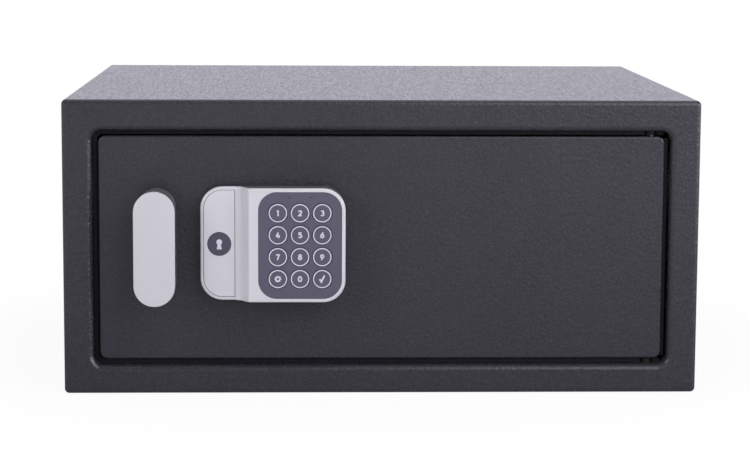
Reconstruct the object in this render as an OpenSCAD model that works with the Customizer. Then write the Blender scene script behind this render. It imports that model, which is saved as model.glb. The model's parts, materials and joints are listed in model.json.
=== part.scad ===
// Laptop safe: a folded steel case with a hinged door, a keypad and a turn handle.
// The origin is the centre of the base. +Z is up and the door faces -Y.

/* [Case] */
// Outside width of the case
body_w = 430; // [400:1:480]
// Outside height of the case
body_h = 200; // [190:1:240]
// Outside depth of the case, without the handle
body_d = 350; // [250:1:450]
// Sheet thickness of the case walls
wall_t = 2; // [1.5:0.1:3]
// Radius of the case folds and of the front edge
fold_r = 3.2; // [2.2:0.1:4]
// Thickness of the back panel
back_t = 2; // [1.5:0.1:3]
// Thickness of the loose mat on the floor
mat_t = 2; // [1:0.5:4]
// Space between the mat and the walls
mat_inset = 4; // [2:1:12]

/* [Front frame] */
// Width of the frame face beside the door
frame_side = 19.8; // [16:0.1:24]
// Height of the frame face below the door
frame_base = 19; // [15:0.1:24]
// Height of the frame face above the door
frame_top = 20.5; // [15:0.1:24]
// Depth of the lip that turns back into the case
lip_depth = 16; // [14:0.5:20]
// Sheet thickness of the lip
lip_t = 2; // [1.5:0.1:2.5]
// Bend radius of the lip's front edge
lip_roll = 3.5; // [2.5:0.1:4]
// Corner radius of the door opening
opening_r = 7; // [5:0.5:9]

/* [Anchor holes] */
// Diameter of each anchor hole
anchor_d = 10; // [8:0.5:14]
// Distance between the two holes in the base
base_anchor_gap = 300; // [200:5:340]
// Distance between the two holes in the back
back_anchor_gap = 300; // [200:5:340]
// Height of the holes in the back
back_anchor_z = 100; // [60:5:140]
// Space round the base holes in the mat
mat_hole_extra = 4; // [2:0.5:8]

/* [Door] */
// Gap round the door
door_gap = 4; // [3:0.1:5]
// How far the door face lies behind the frame face
door_recess = 5; // [3:0.5:6]
// Thickness of the door plate
door_t = 4; // [3:0.5:5]
// Corner radius of the door plate
door_r = 5; // [3:0.5:8]

/* [Hinge] */
// Distance of the hinge axis from the door's edge
hinge_inset = 9; // [8:0.5:11]
// Distance of the hinge axis behind the door plate
hinge_behind = 3; // [3:0.1:3.5]
// Diameter of the hinge pins
pin_d = 5; // [4:0.1:5.5]
// Length of a hinge pin inside its block
pin_reach = 14; // [10:1:20]
// Width of a hinge block
hinge_block_w = 12.4; // [11:0.1:14]
// Depth of a hinge block
hinge_block_d = 9; // [8:0.1:11]
// Height of a hinge block
hinge_block_h = 22; // [22:1:30]
// Diameter of the pin's head and of the spacer under the block
hinge_head_d = 7.8; // [7:0.1:8]
// Height of the pin's head
hinge_head_h = 2; // [1:0.5:4]

/* [Handle] */
// Distance of the handle's axis from the door's free edge
handle_inset = 39.2; // [37:0.1:45]
// Height of the handle's axis above the door's middle
handle_up = 2.5; // [0:0.1:6]
// Length of the handle's face
handle_len = 77; // [60:0.5:80]
// Width of the handle's face
handle_w = 27.5; // [24:0.1:28]
// How far the handle's face stands off the door
handle_out = 29; // [26:0.5:34]
// Thickness of the light cap on the handle
handle_cap_t = 2.5; // [1.5:0.1:4]
// How much the handle's body is set in from its cap
handle_set_in = 0.65; // [0.3:0.05:1.5]
// Diameter of the handle's spindle
spindle_d = 8; // [7:0.1:9]
// Wall of the spindle's bush
bush_wall = 2; // [1.5:0.1:2.5]
// Thickness of the cam on the spindle
cam_t = 3; // [2:0.1:3.5]
// Distance from the spindle to the cam's pin
crank_r = 25; // [24:0.5:26]
// Diameter of the cam's pin
crank_pin_d = 6; // [5:0.1:7]
// Turn of the handle that throws the bolts
handle_turn = 35; // [30:1:37]
// Height of the nut on the spindle
spindle_nut_h = 4; // [3:0.5:5]

/* [Bolt work] */
// Diameter of the locking bolts
bolt_d = 18; // [14:0.5:18]
// Distance of each bolt's axis from the end of the carriage
bolt_inset = 16; // [14:0.5:18]
// Space between the carriage and the posts above and below it
carriage_room = 2; // [1:0.1:4]
// Sheet thickness of the carriage and the bolt guide
carriage_t = 3; // [2:0.1:3]
// How far the carriage reaches past the handle's axis
carriage_past = 26; // [24:0.5:26.5]
// Distance of the bolts' tips from the door's edge when drawn back
tip_inset = 3; // [2:0.1:4]
// Distance of the bolt guide from the door's edge
guide_inset = 4.2; // [3:0.1:5]
// Thickness of the guide's foot on the door
guide_foot_t = 2.5; // [2:0.1:3]
// Width of the guide's foot
guide_foot_w = 10; // [8:0.5:14]
// Diameter of the studs that carry the carriage
stud_d = 6; // [5:0.5:7]
// Distance of each stud from the end of the carriage
stud_inset = 8; // [7:0.1:9]
// Distance of the studs from the handle's axis, towards the bolts
stud_aside = 4; // [3:0.1:5]
// Length of the screws that hold the bolts
bolt_screw_len = 12; // [8:0.5:14]
// Diameter of the washers on the studs
stud_washer_d = 11; // [9:0.5:12]
// Thickness of the washers on the studs
stud_washer_t = 1; // [0.8:0.1:1.5]

/* [Solenoid] */
// Width of the solenoid
solenoid_w = 22; // [20:0.5:26]
// Depth of the solenoid
solenoid_depth = 20; // [20:0.5:22]
// Space between the solenoid and the inner cover's lower wall
solenoid_room = 6.2; // [3:0.1:10]
// Depth of the plunger's foot inside the solenoid
plunger_foot = 3; // [2:0.5:5]
// Length of the plunger that always stands out of the solenoid
plunger_proud = 0.7; // [0.5:0.1:1]
// Thickness of the solenoid's steel frame
solenoid_t = 1.5; // [1:0.1:2]
// Diameter of the plunger
plunger_d = 7; // [5:0.1:8]
// Travel of the plunger
plunger_travel = 5; // [3:0.5:5.5]
// Distance of the carriage's blocking arm below the handle's axis
arm_drop = 30.5; // [29:0.5:31]
// Height of the arm's plate
arm_h = 12; // [8:0.5:14]
// Width of the arm's tooth that the plunger blocks
tooth_w = 5; // [3:0.5:5.5]

/* [Keypad housing] */
// Distance of the housing from the handle's axis
housing_from_handle = 29.6; // [29.4:0.1:32]
// Height of the housing's middle above the door's middle
housing_up = 3.85; // [1:0.05:6]
// Width of the housing
housing_w = 97.4; // [97:0.1:104]
// Height of the housing
housing_h = 76.9; // [76:0.1:86]
// Corner radius of the housing
housing_r = 15; // [13:0.5:18]
// How far the housing's low part stands off the door
housing_low = 10; // [9:0.5:12]
// How far the housing's high part stands off the door
housing_high = 20; // [18:0.5:24]
// Side wall of the housing
housing_wall = 1.8; // [1.4:0.1:2.4]
// Thickness of the light bezel on the housing
bezel_t = 2; // [1.5:0.1:2.5]
// How much the housing is set in from its bezel
housing_set_in = 0.65; // [0.3:0.05:1]
// Face thickness of the low part under the cover
low_face_t = 3; // [2.5:0.1:3.5]
// Face thickness of the high part under the key panel
key_floor_t = 1.5; // [1:0.1:2]
// Width of the low part up to the ramp
low_w = 23.4; // [23.2:0.1:25]
// Width of the ramp between the two parts
ramp_w = 10; // [8:0.5:11]
// Place of the ramp's steepest part, where 1 is the middle and more is nearer the high part
ramp_lean = 1.7; // [1:0.1:2]
// How much the face inside the bezel's rim lies lower than the rim
rim_step = 0.2; // [0.1:0.05:0.3]
// Length of the screws inside the housing's bosses
housing_screw_len = 8; // [6:0.5:9]

/* [Key panel] */
// Margin between the panel and the housing's edge
panel_margin = 2.4; // [2:0.1:3]
// Width of the key panel
panel_w = 56; // [54:0.1:58]
// Thickness of the key panel
panel_t = 1.8; // [1.2:0.1:2.2]
// How far the panel lies below the housing's face
panel_sink = 0.3; // [0:0.1:0.5]
// Diameter of a key
key_d = 12.9; // [11:0.1:13]
// Distance between the centres of two keys
key_pitch = 14.8; // [14.5:0.05:15.2]
// How far a key travels
key_travel = 0.8; // [0.5:0.1:1]
// Thickness of the key's flange
key_flange_t = 0.8; // [0.5:0.1:1]
// How much the key's flange is wider than the key, at each side
key_flange_w = 0.6; // [0.5:0.05:0.65]
// Distance from the panel's inner edge to the first key column
key_column = 13.2; // [12:0.1:14]
// Drop of the lowest key row below the panel's middle
key_row_drop = 22.5; // [22:0.1:23]
// Thickness of the rubber contact mat
contact_mat_t = 1; // [0.6:0.1:1.5]
// Thickness of the circuit boards
board_t = 1.6; // [1:0.1:2]
// Length of the two lamp windows over the keys
lamp_w = 2.2; // [1.5:0.1:3]
// Height of the two lamp windows
lamp_h = 1; // [0.6:0.1:1.4]

/* [Override lock] */
// Thickness of the lift-off cover
cover_t = 1.8; // [1.2:0.1:2.2]
// Width of the lift-off cover
cover_w = 20.7; // [20.2:0.1:20.9]
// Diameter of the badge on the cover
badge_d = 16.2; // [12:0.1:18]
// Thickness of the badge
badge_t = 1; // [0.6:0.1:1.2]
// Drop of the badge below the housing's middle
badge_drop = 0.35; // [0:0.05:2]
// Diameter of the lock's head
lock_head_d = 19; // [18:0.5:20]
// Diameter of the lock's barrel
lock_d = 16; // [14:0.5:17]
// Diameter of the turning plug
plug_d = 11; // [10:0.5:12]
// Height of the keyway
keyway_h = 7; // [6:0.5:8]
// Width of the keyway
keyway_w = 1.6; // [1.2:0.1:2]
// How far the lock's barrel reaches behind the door plate
lock_reach = 7.7; // [7:0.1:9]
// Space between the lock's cam, turned down, and the raised plunger
lock_cam_gap = 0.8; // [0.5:0.1:1.5]
// Thickness of the lock's cam
lock_cam_t = 2; // [1.5:0.1:2.5]
// Width of the lock's nut across its corners
lock_nut_d = 23; // [21:0.5:23]
// Height of the lock's nut
lock_nut_h = 3.5; // [2:0.5:4]

/* [Inner cover] */
// Depth of the cover over the lock work
inner_depth = 30; // [29:0.5:40]
// Wall of the inner cover
inner_wall = 2; // [1.5:0.1:2.5]
// Distance of the inner cover from the door's hinge edge
inner_hinge_gap = 19; // [18.6:0.1:25]
// Distance of the inner cover from the door's top and bottom edges
inner_edge_gap = 7; // [6:0.1:7.2]
// Diameter of the posts that hold the inner cover
post_d = 7; // [6:0.1:8]
// Distance of the posts from the inner cover's edges
post_inset = 6.2; // [6:0.1:6.5]
// Core diameter of the screws
screw_d = 3.5; // [3:0.1:4]
// Diameter of the screw heads
screw_head_d = 7; // [6:0.1:7]
// Height of the screw heads
screw_head_h = 2.4; // [1.8:0.1:2.6]
// Length of the screws inside the posts
cover_screw_len = 10; // [6:0.5:14]

/* [Battery bay] */
// Distance of the bay's middle from the keypad housing
bay_from_keypad = 34; // [32:0.5:40]
// Diameter of a cell
cell_d = 14.2; // [13.5:0.1:14.5]
// Length of a cell without its nub
cell_len = 48.9; // [48:0.1:50]
// Diameter of the cell's nub
nub_d = 5.4; // [4:0.1:6]
// Length of the cell's nub
nub_len = 1.4; // [1:0.1:2]
// Distance between two cells
cell_pitch = 15.5; // [15:0.1:16]
// Wall of the battery holder
holder_wall = 2.2; // [1.5:0.1:3]
// Depth of the holder's pocket
pocket_depth = 16; // [15.5:0.1:17]
// Thickness of the contact plates
contact_t = 0.8; // [0.5:0.1:1]
// Width of the contact plates
contact_w = 10; // [8:0.5:12]
// Height of the contact plates
contact_h = 12; // [9:0.5:14]
// Length of the springs on the contact plates
spring_len = 2.5; // [2:0.1:3.5]
// Diameter of the springs on the contact plates
spring_d = 7; // [5:0.5:9]
// Thickness of the battery door
bay_door_t = 2.6; // [2:0.1:3]
// Width of the battery door's finger groove
groove_w = 16; // [12:1:20]
// Height of the battery door's finger groove
groove_h = 3; // [2:0.5:5]
// Distance of the finger groove from the battery door's upper edge
groove_drop = 5; // [3:0.5:8]

/* [Electronics] */
// Width and height of the control board
control_size = 60; // [55:1:66]
// Distance of the control board from the battery holder
control_from_bay = 21.6; // [6:0.1:26]
// Height of the control board over the door plate
control_off = 6; // [5:0.5:7]
// Distance of the control board's legs from its edges
control_inset = 4; // [3.5:0.5:8]
// Diameter of the control board's legs
control_leg_d = 6; // [4:0.5:7]
// Diameter of the reset button
reset_d = 8; // [6:0.5:10]
// Travel of the reset button
reset_travel = 1.5; // [1:0.1:2]
// How far the reset button stands out of the inner cover
reset_out = 1.2; // [0.5:0.1:2]
// Diameter of the wiring
wire_d = 4; // [3:0.1:4.5]

/* [Fits] */
// Radial clearance of a turning or sliding fit
fit = 0.05; // [0.02:0.01:0.08]
// Clearance of the crank pin in its slot, at each side
slot_fit = 0.15; // [0.12:0.01:0.2]
// Space between faces that pass each other
gap = 0.3; // [0.2:0.05:0.4]

/* [Hidden] */
$fn = 64;
eps = 0.01;
front_y = -body_d / 2;
back_y = body_d / 2;
wall_y0 = front_y + fold_r;
mid_z = body_h / 2;
opening_x = [frame_side - body_w / 2, body_w / 2 - frame_side];
opening_z = [frame_base, body_h - frame_top];
lip_back = front_y + lip_depth;
door_x = [opening_x[0] + door_gap, opening_x[1] - door_gap];
door_z = [opening_z[0] + door_gap, opening_z[1] - door_gap];
door_y = [front_y + door_recess, front_y + door_recess + door_t];

hinge_x = door_x[1] - hinge_inset;
hinge_y = door_y[1] + hinge_behind;
pin_r = pin_d / 2;
spacer_h = door_gap - gap;

handle_x = door_x[0] + handle_inset;
handle_z = mid_z + handle_up;
handle_face_y = door_y[0] - handle_out;
handle_base_y = door_y[0] - 0.5;
handle_cap_y = [handle_face_y, handle_face_y + handle_cap_t];
spindle_r = spindle_d / 2;
spindle_socket = 12;
bush_flange_t = 1.5;

inner_z = [door_z[0] + inner_edge_gap, door_z[1] - inner_edge_gap];
post_z = [inner_z[0] + post_inset, inner_z[1] - post_inset];

bolt_r = bolt_d / 2;
bolt_y = lip_back + 0.5 + bolt_r;
throw = 2 * crank_r * sin(handle_turn / 2);
guide_x = [door_x[0] + guide_inset, door_x[0] + guide_inset + carriage_t];
flange_x = [guide_x[1] + throw + 0.5, guide_x[1] + throw + 0.5 + carriage_t];
carriage_y = [door_y[1] + guide_foot_t + 0.5, door_y[1] + guide_foot_t + 0.5 + carriage_t];
carriage_half = min(post_z[1] - handle_z, handle_z - post_z[0]) - post_d / 2 - carriage_room;
carriage_z = [handle_z - carriage_half, handle_z + carriage_half];
bolt_z = [carriage_z[0] + bolt_inset, carriage_z[1] - bolt_inset];
carriage_end = handle_x + carriage_past;
inner_y = [door_y[1], door_y[1] + inner_depth];
flange_end_y = inner_y[1] - inner_wall - 1.5;
stud_x = handle_x - stud_aside;
stud_z = [carriage_z[0] + stud_inset, carriage_z[1] - stud_inset];
stud_r = stud_d / 2;
cam_y = [carriage_y[1] + 0.6, carriage_y[1] + 0.6 + cam_t];
cam_hub_r = spindle_r + 4;
cam_tip_r = crank_pin_d / 2 + 3;
crank_angle = handle_turn / 2;
crank_at = [handle_x + crank_r * sin(crank_angle), handle_z + crank_r * cos(crank_angle)];
crank_rise = crank_r * (1 - cos(crank_angle));
crank_pin_r = crank_pin_d / 2;

housing_x = [handle_x + housing_from_handle, handle_x + housing_from_handle + housing_w];
housing_mid = mid_z + housing_up;
housing_z = [housing_mid - housing_h / 2, housing_mid + housing_h / 2];
low_y = door_y[0] - housing_low;
high_y = door_y[0] - housing_high;
ramp_x = [housing_x[0] + low_w, housing_x[0] + low_w + ramp_w];
panel_x = [housing_x[1] - panel_margin - panel_w, housing_x[1] - panel_margin];
panel_z = [housing_z[0] + panel_margin, housing_z[1] - panel_margin];
panel_r = housing_r - panel_margin;
panel_y = [high_y + panel_sink, high_y + panel_sink + panel_t];
high_inner_y = panel_y[1] + key_floor_t;
low_cover_y = [low_y, low_y + cover_t];
low_floor_y = [low_cover_y[1] + gap, low_cover_y[1] + gap + low_face_t];
cover_x = [housing_x[0] + panel_margin, housing_x[0] + panel_margin + cover_w];
cavity_x = grow(housing_x, -housing_set_in - housing_wall);
cavity_z = grow(housing_z, -housing_set_in - housing_wall);
high_cavity_x0 = panel_x[0] - 3.2;

key_r = key_d / 2;
key_flange_r = key_r + key_flange_w;
key_columns = [for (i = [0:2]) panel_x[0] + key_column + i * key_pitch];
key_rows = [for (i = [0:3]) housing_mid - key_row_drop + i * key_pitch];
key_face_y = high_y;
key_flange_y = [high_inner_y + gap, high_inner_y + gap + key_flange_t];
mat_y = [key_flange_y[1] + key_travel + gap, key_flange_y[1] + key_travel + gap + contact_mat_t];
keyboard_y = [mat_y[1], mat_y[1] + board_t];
board_post_r = 2.2;
lamp_at_z = key_rows[3] + key_r + 4;

screw_r = screw_d / 2;
housing_boss_r = screw_r + 2;
housing_screw_at = [[ramp_x[0] + 4.8, housing_z[0] + 8.6], [ramp_x[0] + 4.8, housing_z[1] - 8.6],
                    [cavity_x[1] - 3.5, housing_mid]];
board_x = [high_cavity_x0 + 1, housing_screw_at[2][0] - housing_boss_r - gap];
board_z = grow(cavity_z, -2);

lock_x = (cover_x[0] + cover_x[1]) / 2;
lock_z = housing_mid - badge_drop;
lock_seat_y = low_floor_y[0] + 1.7;
lock_front_y = low_floor_y[0] + gap;
lock_back_y = door_y[1] + lock_reach;
lock_cam_y = [lock_back_y + gap, lock_back_y + gap + lock_cam_t];
plug_r = plug_d / 2;
plug_stem_r = plug_r - 2;

arm_z = handle_z - arm_drop;
plunger_r = plunger_d / 2;
plunger_y = door_y[1] + solenoid_depth / 2;
plunger_tip_z = arm_z - gap;
solenoid_z = [inner_z[0] + inner_wall + solenoid_room, plunger_tip_z - plunger_travel - plunger_proud];
solenoid_h = solenoid_z[1] - solenoid_z[0];
lock_cam_len = lock_z - plunger_tip_z - plunger_travel - lock_cam_gap;
notch_half = plunger_r + 0.5;
arm_end = lock_x + notch_half + tooth_w;
arm_shelf_y = [carriage_y[1], plunger_y + plunger_r + 2.5];

inner_x = [guide_x[1], door_x[1] - inner_hinge_gap];
inner_back_y = inner_y[1] - inner_wall;
post_x = [guide_x[0] + guide_foot_w + post_d / 2 + 1, inner_x[1] - post_inset];
post_at = [for (x = post_x, z = post_z) [x, z]];

cell_r = cell_d / 2;
cell_z = [for (i = [-1.5:1:1.5]) mid_z + i * cell_pitch];
bay_cx = housing_x[1] + bay_from_keypad;
pocket_half_x = (cell_len + nub_len + spring_len) / 2 + contact_t;
pocket_x = [bay_cx - pocket_half_x, bay_cx + pocket_half_x];
pocket_half_z = 2 * cell_pitch + 0.8;
pocket_z = [mid_z - pocket_half_z, mid_z + pocket_half_z];
holder_x = [pocket_x[0] - holder_wall, pocket_x[1] + holder_wall];
holder_z = [pocket_z[0] - holder_wall, pocket_z[1] + holder_wall];
holder_back_y = inner_back_y - gap;
pocket_y = holder_back_y - pocket_depth;
cell_y = pocket_y + cell_r;
cell_x0 = pocket_x[0] + contact_t + spring_len;
bay_door_y = [inner_y[1] + gap - bay_door_t, inner_y[1] + gap];

control_cx = holder_x[1] + control_from_bay + control_size / 2;
control_range = [control_cx - control_size / 2, control_cx + control_size / 2];
control_rows = [mid_z - control_size / 2, mid_z + control_size / 2];
control_y = [door_y[1] + control_off, door_y[1] + control_off + board_t];
reset_at = [control_cx + 12, mid_z + 14];
reset_y = [inner_back_y - 3, inner_y[1] + reset_out];
switch_top = reset_y[0] - reset_travel - gap;
wire_r = wire_d / 2;
wire_y = door_y[1] + 10;
wire_low = holder_z[0] - 9;
plug_in_x = [control_range[0] + 9, control_range[0] + 19, control_range[0] + 29];
cable_at = [key_columns[1] + key_pitch / 2, key_rows[0] + key_pitch / 2];
coil_wire_z = solenoid_z[0] + solenoid_t + wire_r + 1;
wire_routes = [
    [[cable_at[0], keyboard_y[1], cable_at[1]], [cable_at[0], wire_y, cable_at[1]],
     [cable_at[0], wire_y, wire_low], [plug_in_x[0], wire_y, wire_low],
     [plug_in_x[0], wire_y, control_rows[0]]],
    [[lock_x + solenoid_w / 2, wire_y, coil_wire_z], [plug_in_x[1], wire_y, coil_wire_z],
     [plug_in_x[1], wire_y, control_rows[0]]]
];

dark_steel = [0.23, 0.23, 0.25];
light_shell = [0.77, 0.77, 0.8];
dark_shell = [0.3, 0.3, 0.33];
panel_grey = [0.33, 0.32, 0.4];
zinc = [0.72, 0.73, 0.75];
dark_plastic = [0.1, 0.1, 0.11];
key_names = ["key_1", "key_2", "key_3", "key_4", "key_5", "key_6", "key_7", "key_8", "key_9",
             "key_set", "key_0", "key_enter"];

// Box between two limits on each axis
module span(x, y, z) {
    translate([x[0], y[0], z[0]]) cube([x[1] - x[0], y[1] - y[0], z[1] - z[0]]);
}

// Outline with four round corners, listed from low left, anticlockwise
module round_outline(x, z, radii) {
    corner = [[x[0], z[0], 1, 1], [x[1], z[0], -1, 1], [x[1], z[1], -1, -1], [x[0], z[1], 1, -1]];
    difference() {
        translate([x[0], z[0]]) square([x[1] - x[0], z[1] - z[0]]);
        for (i = [0:3])
            if (radii[i] > 0)
                translate([corner[i][0], corner[i][1]]) square(2 * radii[i], center = true);
    }
    for (i = [0:3])
        if (radii[i] > 0)
            translate([corner[i][0], corner[i][1]]) intersection() {
                translate([corner[i][2] * radii[i], corner[i][3] * radii[i]]) circle(radii[i]);
                square(2 * radii[i], center = true);
            }
}

// Outline in X and Z carried along Y
module along_y(y) {
    translate([0, y[1], 0]) rotate([90, 0, 0]) linear_extrude(y[1] - y[0]) children();
}

module round_plate(x, z, y, radii) {
    along_y(y) round_outline(x, z, radii);
}

module rod_y(x, z, y, r) {
    translate([x, y[1], z]) rotate([90, 0, 0]) cylinder(h = y[1] - y[0], r = r);
}

module rod_x(x, y, z, r) {
    translate([x[0], y, z]) rotate([0, 90, 0]) cylinder(h = x[1] - x[0], r = r);
}

module slot_x(x, z, y, r) {
    for (end = x) rod_y(end, z, y, r);
    span(x, y, [z - r, z + r]);
}

module slot_z(x, z, y, r) {
    for (end = z) rod_y(x, end, y, r);
    span([x - r, x + r], y, z);
}

function all_round(r) = [r, r, r, r];
function grow(range, by) = [range[0] - by, range[1] + by];

module case_wrap() color(dark_steel) {
    y = [wall_y0, back_y - back_t];
    difference() {
        round_plate([-body_w / 2, body_w / 2], [0, body_h], y, all_round(fold_r));
        span(grow([-body_w / 2, body_w / 2], -wall_t), grow(y, 1), [wall_t, body_h - wall_t]);
        for (side = [-1, 1])
            translate([side * base_anchor_gap / 2, 0, -1]) cylinder(h = wall_t + 2, d = anchor_d);
    }
}

// Carries a profile round a rectangle with round corners. The profile's X is the distance
// outwards from the corner's centre and its Y is the depth behind the frame's face.
module swept_round(x, z, r) {
    half = [x[1] - x[0] - 2 * r, z[1] - z[0] - 2 * r];
    corners = [[x[1] - r, z[1] - r], [x[0] + r, z[1] - r], [x[0] + r, z[0] + r], [x[1] - r, z[0] + r]];
    for (k = [0:3]) translate([corners[k][0], front_y, corners[k][1]]) rotate([0, -90 * k, 0]) {
        rotate([-90, 0, 0]) rotate([0, 0, -90]) rotate_extrude(angle = 90) children();
        translate([0, 0, -half[(k + 1) % 2]]) linear_extrude(half[(k + 1) % 2]) children();
    }
}

// Quarter of a disc, round towards the front and towards the given side
module quarter_disc(r, side) {
    intersection() {
        translate([0, r]) circle(r);
        translate([side > 0 ? 0 : -r, 0]) square(r);
    }
}

module front_frame() color(dark_steel) {
    roll_x = grow(opening_x, lip_roll);
    roll_z = grow(opening_z, lip_roll);
    difference() {
        union() {
            difference() {
                span([fold_r - body_w / 2, body_w / 2 - fold_r], [front_y, wall_y0],
                     [fold_r, body_h - fold_r]);
                round_plate(roll_x, roll_z, [front_y - 1, wall_y0 + 1], all_round(opening_r + lip_roll));
            }
            swept_round([-body_w / 2, body_w / 2], [0, body_h], fold_r) quarter_disc(fold_r, 1);
            swept_round(opening_x, opening_z, opening_r) translate([opening_r, 0]) union() {
                translate([lip_roll, 0]) quarter_disc(lip_roll, -1);
                translate([0, lip_roll]) square([lip_t, lip_depth - lip_roll]);
            }
        }
        translate([hinge_x, hinge_y, 0]) cylinder(h = body_h, r = pin_r);
    }
}

module back_panel() color(dark_steel) {
    difference() {
        round_plate([-body_w / 2, body_w / 2], [0, body_h], [back_y - back_t, back_y], all_round(fold_r));
        for (side = [-1, 1])
            rod_y(side * back_anchor_gap / 2, back_anchor_z, [back_y - back_t - 1, back_y + 1],
                  anchor_d / 2);
    }
}

module floor_mat() color([0.12, 0.12, 0.13]) {
    difference() {
        span(grow([-body_w / 2, body_w / 2], -wall_t - mat_inset),
             [lip_back + mat_inset, back_y - back_t - mat_inset], [wall_t, wall_t + mat_t]);
        for (side = [-1, 1])
            translate([side * base_anchor_gap / 2, 0, 0])
                cylinder(h = wall_t + mat_t + 1, d = anchor_d + 2 * mat_hole_extra);
    }
}

// Places its children at the lower hinge and, turned over, at the upper one
module both_hinges() {
    translate([hinge_x, hinge_y, opening_z[0]]) children();
    translate([hinge_x, hinge_y, opening_z[1]]) mirror([0, 0, 1]) children();
}

module hinge_pins() color(zinc) {
    both_hinges() {
        translate([0, 0, -lip_t]) cylinder(h = lip_t + door_gap + pin_reach, r = pin_r);
        translate([0, 0, -lip_t - hinge_head_h]) cylinder(h = hinge_head_h, d = hinge_head_d);
    }
}

module hinge_spacers() color([0.85, 0.85, 0.82]) {
    both_hinges() difference() {
        cylinder(h = spacer_h, d = hinge_head_d);
        translate([0, 0, -1]) cylinder(h = spacer_h + 2, r = pin_r);
    }
}

module door_plate() color(dark_steel) {
    through = grow(door_y, 1);
    difference() {
        round_plate(door_x, door_z, door_y, all_round(door_r));
        rod_y(handle_x, handle_z, through, spindle_r + fit + bush_wall);
        rod_y(lock_x, lock_z, through, lock_d / 2);
        rod_y(cable_at[0], cable_at[1], through, wire_r + 3);
        for (at = housing_screw_at) rod_y(at[0], at[1], through, screw_r + 0.3);
    }
}

module hinge_blocks() color(dark_steel) {
    both_hinges() difference() {
        translate([-hinge_block_w / 2, -hinge_behind, door_gap])
            cube([hinge_block_w, hinge_block_d, hinge_block_h]);
        translate([0, 0, door_gap - 1]) cylinder(h = pin_reach + 2, r = pin_r + fit);
    }
}

module bolt_guide() color(zinc) {
    difference() {
        union() {
            span(guide_x, inner_y, inner_z);
            span([guide_x[0], guide_x[0] + guide_foot_w], [door_y[1], door_y[1] + guide_foot_t],
                 grow(inner_z, -inner_wall - gap));
        }
        for (at = bolt_z) rod_x(grow(guide_x, 1), bolt_y, at, bolt_r + fit);
    }
}

module carriage_studs() color(zinc) {
    for (z = stud_z) {
        rod_y(stud_x, z, [door_y[1], carriage_y[0] - gap], stud_r + 2);
        rod_y(stud_x, z, [door_y[1], carriage_y[1] + gap + stud_washer_t + 1.5], stud_r);
    }
}

module stud_washers() color(zinc) {
    y = [carriage_y[1] + gap, carriage_y[1] + gap + stud_washer_t];
    for (z = stud_z) difference() {
        rod_y(stud_x, z, y, stud_washer_d / 2);
        rod_y(stud_x, z, grow(y, 1), stud_r);
    }
}

module spindle_bush() color([0.78, 0.66, 0.38]) {
    flange_y = [door_y[1], door_y[1] + bush_flange_t];
    difference() {
        union() {
            rod_y(handle_x, handle_z, [door_y[0], flange_y[1]], spindle_r + fit + bush_wall);
            rod_y(handle_x, handle_z, flange_y, spindle_r + fit + bush_wall + 2);
        }
        rod_y(handle_x, handle_z, [door_y[0] - 1, flange_y[1] + 1], spindle_r + fit);
    }
}

module pill(y, set_in) {
    r = handle_w / 2 - set_in;
    half = handle_len / 2 - handle_w / 2;
    slot_z(handle_x, [handle_z - half, handle_z + half], y, r);
}

module handle_body() color(dark_shell) {
    difference() {
        pill([handle_cap_y[1], handle_base_y], handle_set_in);
        rod_y(handle_x, handle_z, [handle_base_y - spindle_socket, handle_base_y + 1], spindle_r);
    }
}

module handle_cap() color(light_shell) {
    pill(handle_cap_y, 0);
}

module handle_spindle() color(zinc) {
    rod_y(handle_x, handle_z, [handle_base_y - spindle_socket, cam_y[1] + spindle_nut_h], spindle_r);
}

module handle_cam() color(zinc) {
    difference() {
        translate([handle_x, 0, handle_z]) rotate([0, crank_angle, 0]) {
            rod_y(0, 0, cam_y, cam_hub_r);
            rod_y(0, crank_r, cam_y, cam_tip_r);
            span([-cam_tip_r, cam_tip_r], cam_y, [0, crank_r]);
        }
        rod_y(handle_x, handle_z, grow(cam_y, 1), spindle_r);
        rod_y(crank_at[0], crank_at[1], grow(cam_y, 1), crank_pin_r);
    }
}

module crank_pin() color(zinc) {
    rod_y(crank_at[0], crank_at[1], [carriage_y[0], cam_y[1]], crank_pin_r);
}

module spindle_nut() color(zinc) {
    y = [cam_y[1], cam_y[1] + spindle_nut_h - 0.8];
    difference() {
        translate([handle_x, y[1], handle_z]) rotate([90, 0, 0])
            cylinder(h = y[1] - y[0], r = 7.5, $fn = 6);
        rod_y(handle_x, handle_z, grow(y, 1), spindle_r);
    }
}

module bolt_carriage() color(zinc) {
    y = carriage_y;
    cut = grow(y, 1);
    difference() {
        union() {
            span([flange_x[0], carriage_end], y, carriage_z);
            span(flange_x, [y[0], flange_end_y], carriage_z);
            span([carriage_end - 1, arm_end], y, [arm_z, arm_z + arm_h]);
            span([carriage_end - 6, arm_end], arm_shelf_y, [arm_z, arm_z + carriage_t]);
        }
        slot_x([handle_x, handle_x + throw], handle_z, cut, spindle_r + 0.5);
        for (z = stud_z) slot_x([stud_x, stud_x + throw], z, cut, stud_r + fit);
        slot_z(crank_at[0], [crank_at[1] - 0.5, crank_at[1] + crank_rise + 0.5], cut,
               crank_pin_r + slot_fit);
        span([lock_x - notch_half, lock_x + notch_half], grow(arm_shelf_y, 1) + [1, 0],
             [arm_z - 1, arm_z + carriage_t + 1]);
        for (z = bolt_z) rod_x(grow(flange_x, 1), bolt_y, z, screw_r);
    }
}

module locking_bolts() color(zinc) {
    for (z = bolt_z) difference() {
        rod_x([door_x[0] + tip_inset, flange_x[0]], bolt_y, z, bolt_r);
        rod_x([flange_x[0] - bolt_screw_len, flange_x[0] + 1], bolt_y, z, screw_r);
    }
}

module bolt_screws() color(zinc) {
    for (z = bolt_z) {
        rod_x([flange_x[0] - bolt_screw_len, flange_x[1] + 1], bolt_y, z, screw_r);
        rod_x([flange_x[1], flange_x[1] + screw_head_h], bolt_y, z, screw_head_d / 2);
    }
}

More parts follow.
